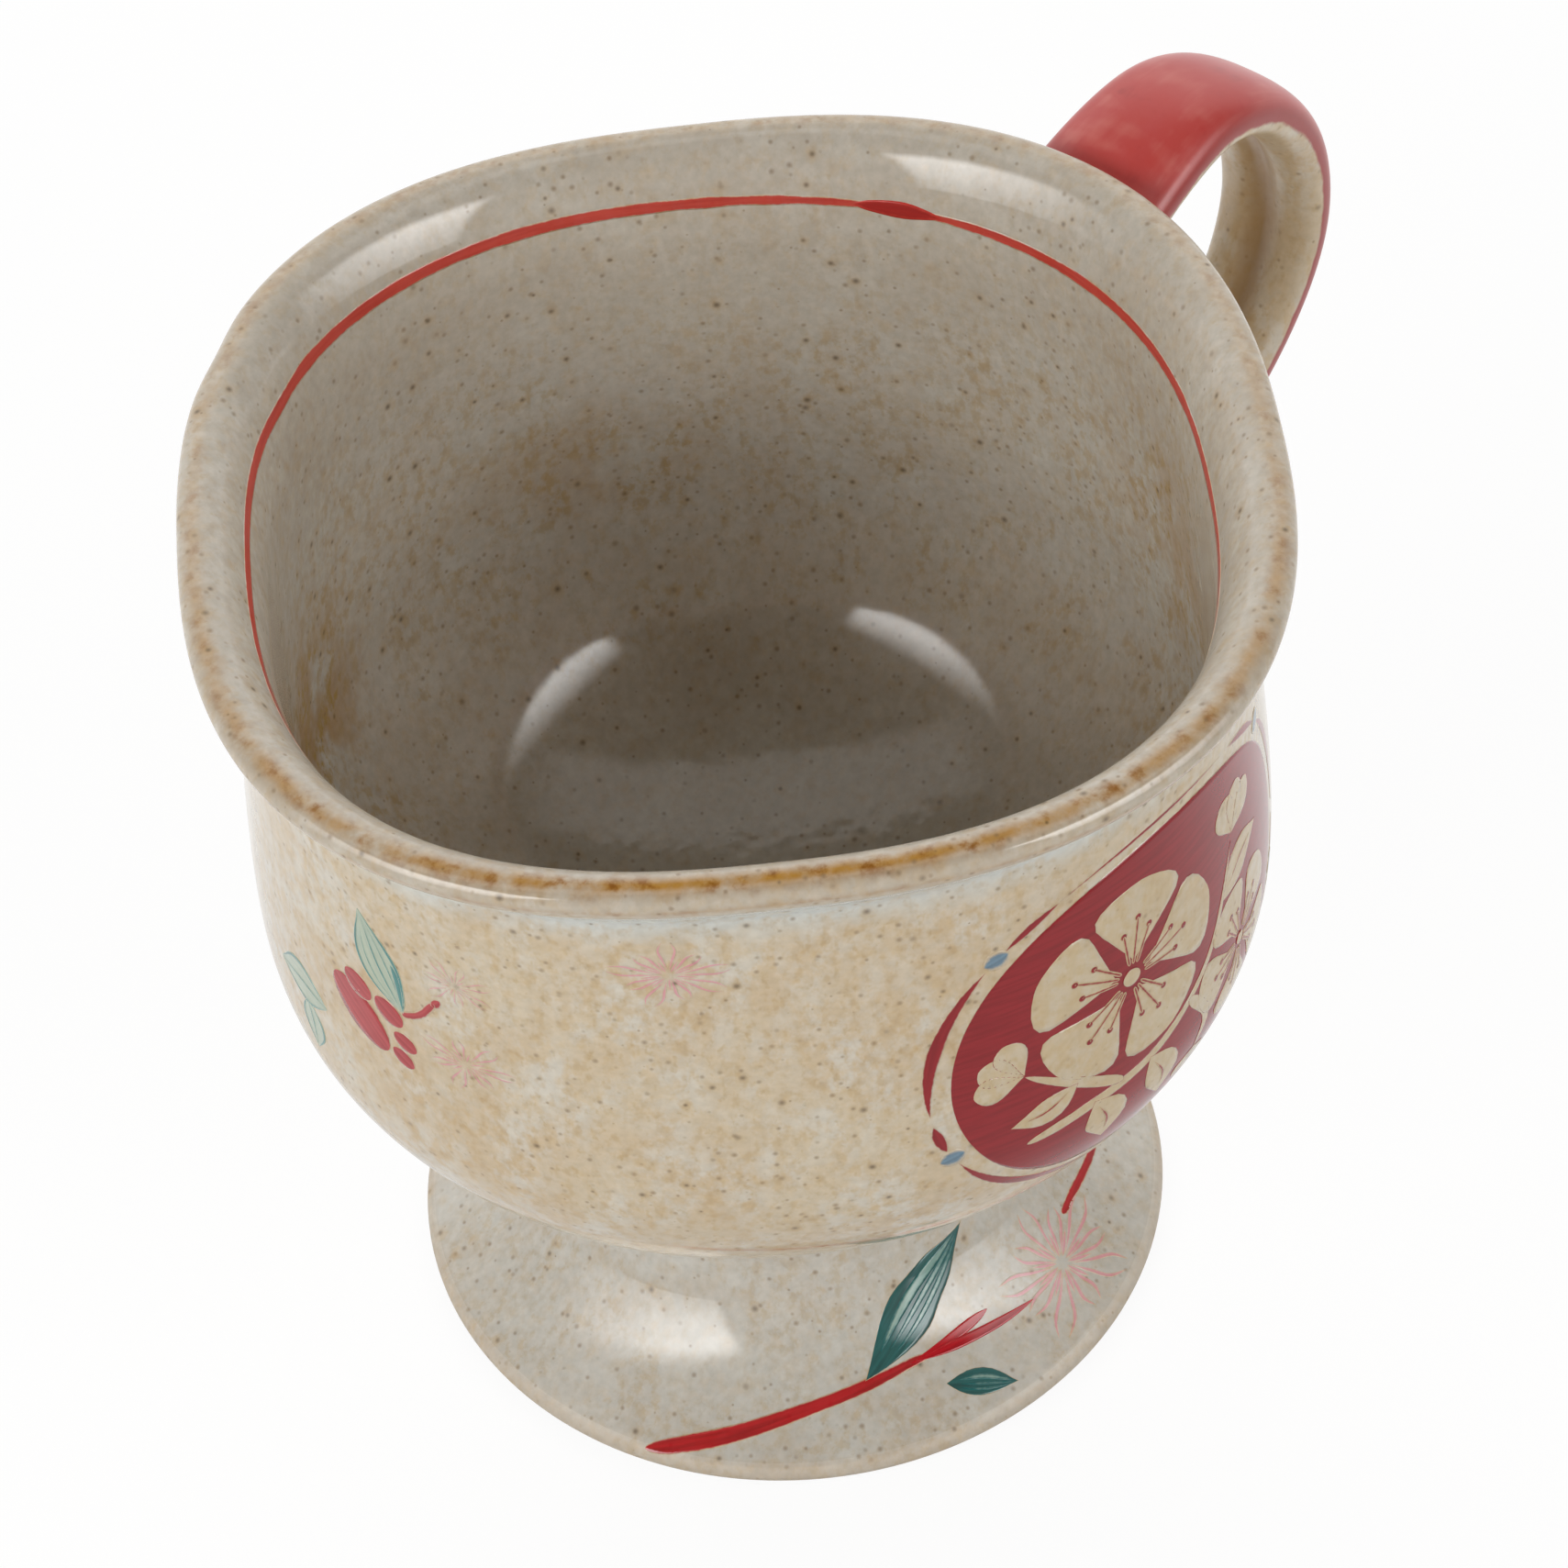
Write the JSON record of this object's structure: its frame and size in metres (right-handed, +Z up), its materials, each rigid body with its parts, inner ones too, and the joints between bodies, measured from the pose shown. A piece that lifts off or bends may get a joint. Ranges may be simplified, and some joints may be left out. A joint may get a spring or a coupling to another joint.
{
  "type": "footed tea mug",
  "caption": "Footed stoneware tea mug with a squared bowl, a flared lip, a hollow flared foot and a strap handle on one corner, for holding and drinking tea.",
  "frame": {"origin": "on the table, under the middle of the mug's overall box", "axes": "+Z up out of the mouth, +X from the bowl towards the handle, so the cup's own axis stands at negative X"},
  "size_m": [0.1254, 0.0954, 0.0918],
  "materials": {
    "speckled_glaze": "glossy speckled cream glaze",
    "red_glaze": "glossy brushed red under clear glaze",
    "slip_clay": "fired slip"
  },
  "bodies": {
    "root": {"bowl": "speckled_glaze", "pedestal_foot": "speckled_glaze", "strap_handle": "red_glaze", "foot_slip_joint": "slip_clay", "upper_handle_slip_joint": "slip_clay", "lower_handle_slip_joint": "slip_clay"}
  },
  "joints": []
}
